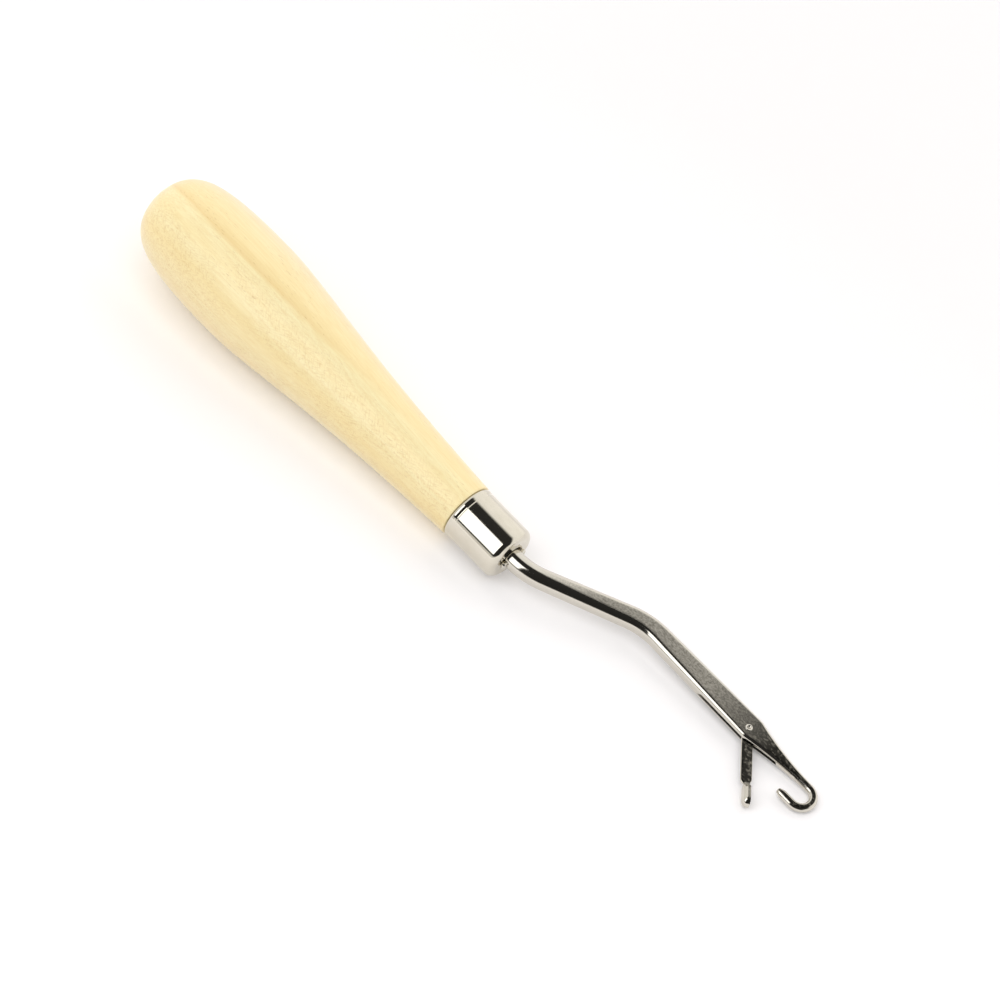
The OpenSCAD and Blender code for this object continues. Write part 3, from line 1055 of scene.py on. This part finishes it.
@dataclass(frozen=True)
class Latch(Piece):
    """Thin blade with a round, bored end in the slot and a small spoon at its tip."""

    NAME = "swinging_latch"
    NODE = "latch"
    BODY = Body.LATCH
    CREASE = 24.0

    pivot: Point = (51.2, 9.9)
    rest: float = radians(47.6)
    length: float = 15.4
    blade_h: float = 2.1
    hub_rise: float = 0.1
    blade_t: float = 0.5
    edge_round: float = 0.1
    edge_steps: int = 4
    hub_steps: int = 40
    end_steps: int = 24
    # Where the blade's painted dark reflection starts and is full, in mm past the blade's end.
    dark_start: float = 0.3
    dark_full: float = -0.1
    bore_r: float = 0.75
    spoon_len: float = 4.4
    spoon_w: float = 2.6
    spoon_h: float = 1.35
    cup_r: float = 0.95
    cup_floor: float = 0.4
    # The spoon's root flares out of the blade between these distances from the pivot.
    flare_from: float = 10.5
    flare_to: float = 12.0
    flare_power: float = 0.9
    root_half: float = 0.15
    root_depth: float = 0.8
    tip_depth: float = 0.35
    # Powers below one make the section fuller than an ellipse.
    side_power: float = 0.85
    back_power: float = 0.8
    steps: int = 36
    tip_steps: int = 16
    around: int = 48

    @property
    def blade_end(self) -> float:
        """Distance from the pivot to where the spoon starts."""
        return self.length - self.spoon_len

    @property
    def hub_r(self) -> float:
        """Radius of the blade's round end."""
        return self.blade_h / 2 + self.hub_rise

    @property
    def tip_start(self) -> float:
        """Distance from the pivot to where the spoon's tip starts to round off."""
        return self.length - self.spoon_w / 2

    @cached_property
    def finish(self) -> Finish:
        """Darken the blade's steel with a painted dark reflection, and leave the spoon's bright.

        Returns:
            The latch's finish.
        """
        aim = (cos(self.rest), -sin(self.rest), 0.0)
        end = self.blade_end + aim[0] * self.pivot[0] + aim[1] * self.pivot[1]
        return PlatedSteel(self.tool, name="dark_latch_steel", rough=(0.12, 0.22),
                           pits=Grain((0.49, 0.35, 0.35), 3.0), dark_aim=aim,
                           dark_span=(end + self.dark_start, end + self.dark_full),
                           neck_span=NOWHERE)

    def blade(self) -> Object:
        """Make the blade: a strip with two round ends and softened edges.

        Returns:
            A new object.
        """
        end = self.blade_end - self.blade_h / 2
        lean = degrees(asin(self.blade_h / 2 / self.hub_r))
        outline = arc_points((0.0, 0.0), self.hub_r, lean, 360 - lean, self.hub_steps)
        outline += arc_points((end, 0.0), self.blade_h / 2, -90, 90, self.end_steps)
        blade = prism(self.NAME, outline, self.blade_t / 2)
        return soften(blade, self.edge_round, self.edge_steps)

    def spoon_places(self) -> list[float]:
        """Return the distances from the pivot at which the spoon's section is drawn."""
        body = [mix(self.flare_from, self.tip_start, i / self.steps) for i in range(self.steps + 1)]
        return body + [mix(self.tip_start, self.length, sin(pi / 2 * i / self.tip_steps))
                       for i in range(1, self.tip_steps)]

    def spoon_section(self, u: float) -> list[Triple]:
        """Return the ring of points round the spoon at one distance from the pivot.

        Args:
            u: Distance from the pivot, in millimetres.

        Returns:
            Points with X along the latch, Y towards the neck's side and Z across.
        """
        spread = share(u, self.flare_from, self.flare_to) ** self.flare_power
        end = sqrt(max(0.0, 1 - share(u, self.tip_start, self.length) ** 2))
        half = mix(self.root_half, self.spoon_w / 2, spread) * end
        bowl = min(share(u, self.flare_to - self.cup_r, self.flare_to + self.cup_r / 2),
                   1 - share(u, self.tip_start, self.tip_start + self.cup_r))
        depth = (self.spoon_h - self.cup_floor) * sqrt(max(0.0, 1 - (1 - bowl) ** 2))
        rim = self.spoon_h / 2
        back = self.spoon_h * mix(self.tip_depth, 1.0, end) * mix(self.root_depth, 1.0, spread)
        points = []
        for i in range(self.around):
            a = tau * (i + 0.5) / self.around
            across = copysign(abs(cos(a)) ** self.side_power, cos(a))
            if sin(a) > 0:
                inside = abs(across) * half / self.cup_r
                y = rim - depth * sqrt(max(0.0, 1 - inside * inside))
            else:
                y = rim - back * abs(sin(a)) ** self.back_power
            points.append((u, y, half * across))
        return points

    def spoon(self) -> Object:
        """Make the spoon: a flared root, a hollow bowl and a round tip.

        Returns:
            A new object.
        """
        sections = [self.spoon_section(u) for u in self.spoon_places()]
        points = [p for section in sections for p in section]
        count = self.around
        faces = [(k + i, k + (i + 1) % count, k + count + (i + 1) % count, k + count + i)
                 for k in range(0, len(points) - count, count) for i in range(count)]
        faces += [tuple(range(count)), tuple(range(len(points) - count, len(points)))]
        return new_object("spoon", points, faces)

    def shape(self) -> Object:
        """Make the latch from its blade, spoon and bore, at its rest angle.

        Returns:
            A new object whose mesh is in tool millimetres.
        """
        obj = self.blade()
        combine(obj, self.spoon(), Cut.JOIN)
        bore = prism("bore", circle_points((0.0, 0.0), self.bore_r), self.blade_t)
        combine(obj, bore, Cut.TAKE_AWAY)
        turn = Matrix.Rotation(-self.rest, 4, "Z")
        obj.data.transform(Matrix.Translation((*self.pivot, 0.0)) @ turn)
        return obj


@dataclass(frozen=True)
class Shank(Piece):
    """Cranked wire, pressed wider and thinner towards the rivet, drawn down to the hook."""

    NAME = "cranked_shank"
    NODE = "shank"
    CREASE = 22.0

    wire_r: float = 1.95
    tang_len: float = 46.0
    tang_chamfer: float = 0.9
    reach: float = 69.35
    first_bend: float = 4.05
    crank_angle: float = radians(26.8)
    crank_offset: float = 10.45
    bend_r: float = 14.0
    flat_w: float = 5.1
    flat_t: float = 2.26
    side_r: float = 1.17
    press_start: float = 6.0
    press_full: float = 51.0
    neck_len: float = 17.35
    neck_rise: float = 0.12
    # How suddenly the shoulder narrows and thins, and how blunt the pressed sides are.
    shoulder_power: float = 1.95
    thinning: float = 1.5
    pressed_bluntness: float = 0.66
    hook_wire_r: float = 0.825
    hook_r: float = 2.4
    hook_leg: float = 3.3
    tip_taper: float = 1.1
    tip_r: float = 0.55
    tip_chamfer: float = 0.25
    ear_reach: float = 2.9
    ear_len: float = 0.95
    ear_t: float = 1.2
    ear_round: float = 0.22
    ear_steps: int = 12
    ear_round_steps: int = 3
    slot_w: float = 0.66
    slot_front: float = 7.9
    floor_clearance: float = 0.2
    rivet_r: float = 0.7
    latch_open: float = radians(163.0)
    bend_steps: int = 20
    press_steps: int = 30
    neck_steps: int = 40
    hook_steps: int = 36
    tip_steps: int = 5
    side_steps: int = 24
    flat_steps: int = 12

    @property
    def shoulder_x(self) -> float:
        """Distance from the ferrule to the shoulder."""
        return self.reach - self.neck_len

    @property
    def hook_centre(self) -> Point:
        """Middle of the hook's bend."""
        return (self.reach - self.hook_wire_r - self.hook_r,
                self.crank_offset + self.neck_rise - self.hook_r)

    def sizes(self, x: float) -> tuple[float, float, float, float]:
        """Work out the section at one place along the wire.

        Args:
            x: Distance from the ferrule.

        Returns:
            Half width, half thickness, side radius and corner bluntness.
        """
        pressed = share(x, self.press_start, self.press_full)
        neck = 1 - share(x, self.shoulder_x, self.hook_centre[0])
        thin = neck ** self.thinning
        half_w, half_t, side = (
            mix(self.hook_wire_r, mix(self.wire_r, full, pressed), left)
            for full, left in ((self.flat_w / 2, neck ** self.shoulder_power),
                               (self.flat_t / 2, thin), (self.side_r, thin)))
        return half_w, half_t, side, mix(1.0, self.pressed_bluntness, pressed * thin)

    def ring(self) -> list[RingPoint]:
        """Return the points round each ring, with two sides and two flats."""
        return pressed_ring(self.side_steps, self.flat_steps)

    def stations(self) -> list[Station]:
        """Follow the wire from its tang, through both bends and the hook, to its tip.

        Returns:
            Its rings, in order.
        """
        setback = self.bend_r * tan(self.crank_angle / 2)
        start = self.first_bend - setback
        end = self.first_bend + self.crank_offset / tan(self.crank_angle) + setback
        small = self.wire_r - self.tang_chamfer
        path = [turned_station(-self.tang_len, 0.0), turned_station(-self.tang_len, small),
                turned_station(self.tang_chamfer - self.tang_len, self.wire_r)]
        angles = [self.crank_angle * i / self.bend_steps for i in range(self.bend_steps + 1)]
        bend = [(self.bend_r * sin(a), self.bend_r * (1 - cos(a)), a) for a in angles]
        run = [(start + x, y, a) for x, y, a in bend]
        run += [(end - x, self.crank_offset - y, a) for x, y, a in reversed(bend)]
        run += [(mix(end, self.shoulder_x, i / self.press_steps), self.crank_offset, 0.0)
                for i in range(1, self.press_steps + 1)]
        centre = self.hook_centre
        run += [(mix(self.shoulder_x, centre[0], i / self.neck_steps),
                 self.crank_offset + self.neck_rise * i / self.neck_steps, 0.0)
                for i in range(1, self.neck_steps + 1)]
        path += [Station(x, y, a, *self.sizes(x)) for x, y, a in run]
        for i in range(1, self.hook_steps + 1):
            a = pi * i / self.hook_steps
            path.append(Station(centre[0] + self.hook_r * sin(a), centre[1] + self.hook_r * cos(a),
                                -a, *(self.hook_wire_r,) * 3))
        round_tip = arc_points((self.tip_chamfer, self.tip_r - self.tip_chamfer),
                               self.tip_chamfer, 90, 180, self.tip_steps)
        for left, r in [(self.tip_taper, self.hook_wire_r), *round_tip, (0.0, 0.0)]:
            path.append(Station(centre[0] - self.hook_leg + left, centre[1] - self.hook_r,
                                -pi, r, r, r))
        return path

    def slot_outline(self) -> list[Point]:
        """Draw the slot for the latch, open on the side of the hook's tip.

        Returns:
            Corners of its outline.
        """
        latch = Latch(self.tool, self.rings)
        pivot_x, pivot_y = latch.pivot
        low = self.crank_offset - self.flat_w
        rear = pivot_x - latch.blade_end - self.floor_clearance
        rear_floor = (pivot_y - latch.blade_end * sin(self.latch_open)
                      + latch.blade_h / 2 + self.floor_clearance)
        floor = pivot_y + latch.hub_r + self.floor_clearance
        front = pivot_x + self.slot_front
        neck_y = self.crank_offset + self.neck_rise
        return [(rear, low), (rear, rear_floor), (pivot_x - latch.hub_r, floor),
                (pivot_x + latch.hub_r, floor), (front, neck_y - self.sizes(front)[0]),
                (front, low)]

    def ears(self) -> Object:
        """Make the two stop ears swaged out of the wire, as one rounded bar across it.

        Returns:
            A new object.
        """
        r = self.ear_len / 2
        outline = arc_points((r, self.ear_reach - r), r, 0, 180, self.ear_steps)
        outline += arc_points((r, r - self.ear_reach), r, 180, 360, self.ear_steps)
        bar = prism("stop_ears", outline, self.ear_t / 2)
        return soften(bar, self.ear_round, self.ear_round_steps)

    def shape(self) -> Object:
        """Make the shank with its ears, slot and rivet hole.

        Returns:
            A new object whose mesh is in tool millimetres.
        """
        obj = super().shape()
        tidy_faces(obj)
        combine(obj, self.ears(), Cut.JOIN)
        combine(obj, prism("slot", self.slot_outline(), self.slot_w / 2), Cut.TAKE_AWAY)
        hole = circle_points(Latch.pivot, self.rivet_r)
        combine(obj, prism("hole", hole, self.flat_t), Cut.TAKE_AWAY)
        return obj


@dataclass(frozen=True)
class Rivet(Piece):
    """Rivet closed with a ring punch, which leaves a raised ring round a small dimple."""

    NAME = "closed_rivet"
    NODE = "latch_rivet"
    CREASE = 35.0

    radius: float = 0.7
    half_len: float = 1.19
    dimple_r: float = 0.4
    dimple: float = 0.3
    dimple_edge: float = 0.04
    round_r: float = 0.14
    round_steps: int = 6
    around: int = 64

    @cached_property
    def finish(self) -> Finish:
        """Steel that is bright from the punch."""
        return PlatedSteel(self.tool, name="rivet_steel", rough=(0.09, 0.16),
                           flat_light="#f0ece3", flat_dull="#cfcbc1", dark_span=NOWHERE)

    def outline(self) -> list[Point]:
        """Draw the rivet from the middle of one end to the middle of the other.

        Returns:
            Places and radii of its rings.
        """
        edge = arc_points((self.half_len - self.round_r, self.radius - self.round_r),
                          self.round_r, 0, 90, self.round_steps)
        bowl = [(self.half_len - self.dimple * cos(a) ** 2, self.dimple_r * sin(a))
                for a in (pi / 2 * i / self.round_steps for i in range(self.round_steps))]
        end = bowl + [(self.half_len, self.dimple_r + self.dimple_edge)] + edge
        return end + [(-x, r) for x, r in reversed(end)]

    def shape(self) -> Object:
        """Make the rivet, turned on end at the latch's pivot.

        Returns:
            A new object whose mesh is in tool millimetres.
        """
        obj = super().shape()
        turn = Matrix.Rotation(-pi / 2, 4, "Y")
        obj.data.transform(Matrix.Translation((*Latch.pivot, 0.0)) @ turn)
        return obj


# Studio


@dataclass(frozen=True)
class Lamp:
    """Flat lamp: its direction from the ferrule in the tool's axes, size in metres, power."""

    name: str
    aim: Triple
    size: Point
    watts: float
    in_mirrors: bool = True

    def build(self, tool: ToolFrame, away: float) -> None:
        """Hang the lamp so that it faces the ferrule.

        Args:
            tool: The tool's axes.
            away: Distance from the ferrule, in metres.
        """
        data = bpy.data.lights.new(self.name, "AREA")
        data.shape = "RECTANGLE"
        data.size, data.size_y = self.size
        data.energy = self.watts
        aim = (tool.turn() @ Vector(self.aim)).normalized()
        along = (tool.along - aim * tool.along.dot(aim)).normalized()
        axes = Matrix((along, aim.cross(along), aim)).transposed().to_4x4()
        obj = in_scene(self.name, data)
        obj.matrix_world = Matrix.Translation(tool.origin + aim * away) @ axes
        obj.visible_glossy = self.in_mirrors


@dataclass(frozen=True)
class Studio:
    """White paper floor, a softbox on the picture's left, a fill and pale surroundings."""

    tool: ToolFrame
    floor_half: float = 1.6
    floor_gap: float = 0.02 * MM
    lamp_away: float = 0.62
    lamps: tuple[Lamp, ...] = (
        Lamp("softbox", (-0.275, -0.71, 0.64), (0.30, 0.60), 1.15),
        Lamp("fill", (0.1, -0.25, 0.96), (0.7, 0.5), 2.0, in_mirrors=False))
    # The dark patch lies where every one of these edges is passed: each is a direction in
    # the tool's axes, with how far along it the darkness starts and is full.
    dark_edges: tuple[tuple[Triple, float, float], ...] = (
        ((0.0, -0.9336, 0.3584), -0.14, 0.07), ((0.0, 0.139, 0.990), 0.0, 0.015),
        ((1.0, 0.0, 0.0), -0.50, -0.44), ((-1.0, 0.0, 0.0), -0.94, -0.88))
    dark_level: float = 0.03
    sky_colour: str = "#fffdfa"
    # Strength of the light from the hook's side and from the crank's side.
    light_near: float = 0.80
    light_far: float = 1.22
    # Where the camera is, in tool millimetres, and which way its picture's right and top lie.
    eye: Triple = (170.430, -336.882, 529.218)
    right: Triple = (0.673885, 0.703161, 0.226810)
    top: Triple = (-0.685751, 0.481004, 0.546243)
    lens_mm: float = 131.332
    sensor_mm: float = 36.0
    # The nearest and farthest that the camera sees, in metres.
    clip: Point = (0.01, 20.0)

    def floor(self) -> None:
        """Lay the paper just under the tool's lowest point."""
        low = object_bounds()[0].z - self.floor_gap
        s = self.floor_half
        mesh = bpy.data.meshes.new("paper_floor")
        mesh.from_pydata([(-s, -s, low), (s, -s, low), (s, s, low), (-s, s, low)], [],
                         [(0, 1, 2, 3)])
        WhitePaper(self.tool).dress(mesh)
        in_scene("paper_floor", mesh)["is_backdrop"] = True

    def surroundings(self) -> None:
        """Light the room: white all round, with a dark patch overhead by the camera."""
        world = bpy.data.worlds.new("studio_room")
        add = cleared(world)
        ray = add("TexCoord", out="Generated")
        dark: Socket | float = 1.0
        for edge, outside, inside in self.dark_edges:
            beyond = add("VectorMath", (ray, self.tool.turn() @ Vector(edge)),
                         operation="DOT_PRODUCT")
            within = add("MapRange", (beyond, outside, inside), interpolation_type="SMOOTHSTEP")
            dark = add("Math", (dark, within), operation="MULTIPLY")
        open_part = add("MapRange", (dark, 0.0, 1.0, 1.0, self.dark_level))
        side = add("VectorMath", (ray, self.tool.aside), operation="DOT_PRODUCT")
        lean = add("MapRange", (side, -1.0, 1.0, self.light_near, self.light_far))
        lit = add("Math", (open_part, lean), operation="MULTIPLY")
        strength = add("Mix", (add("LightPath", out="Is Camera Ray"), lit, 1.0), data_type="FLOAT")
        sky = add("Background", {"Color": linear(self.sky_colour), "Strength": strength})
        add("OutputWorld", {"Surface": sky})
        bpy.context.scene.world = world

    def camera(self) -> None:
        """Set up the camera at the photograph's viewing angle."""
        data = bpy.data.cameras.new("camera")
        data.lens = self.lens_mm
        data.sensor_width = self.sensor_mm
        data.clip_start, data.clip_end = self.clip
        obj = in_scene("camera", data)
        right, top = Vector(self.right).normalized(), Vector(self.top).normalized()
        axes = Matrix((right, top, right.cross(top))).transposed()
        place = self.tool.matrix() @ Vector(self.eye)
        obj.matrix_world = Matrix.Translation(place) @ (self.tool.turn() @ axes).to_4x4()
        bpy.context.scene.camera = obj

    def build(self) -> None:
        """Set up the floor, the light and the camera."""
        self.floor()
        self.surroundings()
        for lamp in self.lamps:
            lamp.build(self.tool, self.lamp_away)
        self.camera()
        bpy.context.scene.view_settings.view_transform = "Standard"


def main() -> None:
    """Build every piece round the frame, then the studio, and work out both boxes."""
    logging.basicConfig(level=logging.INFO, format="%(name)s %(message)s")
    tool = ToolFrame.from_frame(frame, Handle.ferrule_len + Handle.bulge_reach)
    rings = RingSweep()
    for piece in (Handle, Ferrule, Shank, Rivet, Latch):
        obj = piece(tool, rings).build()
        LOG.info("%s: %d faces", obj.name, len(obj.data.polygons))
    Studio(tool).build()
    LOG.info("studio: paper, surroundings, softbox, fill and camera")
    boxes = {"cad": cad_box, "visual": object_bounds()}
    {name: [list(corner) for corner in box] for name, box in boxes.items()}


if __name__ == "__main__":
    main()
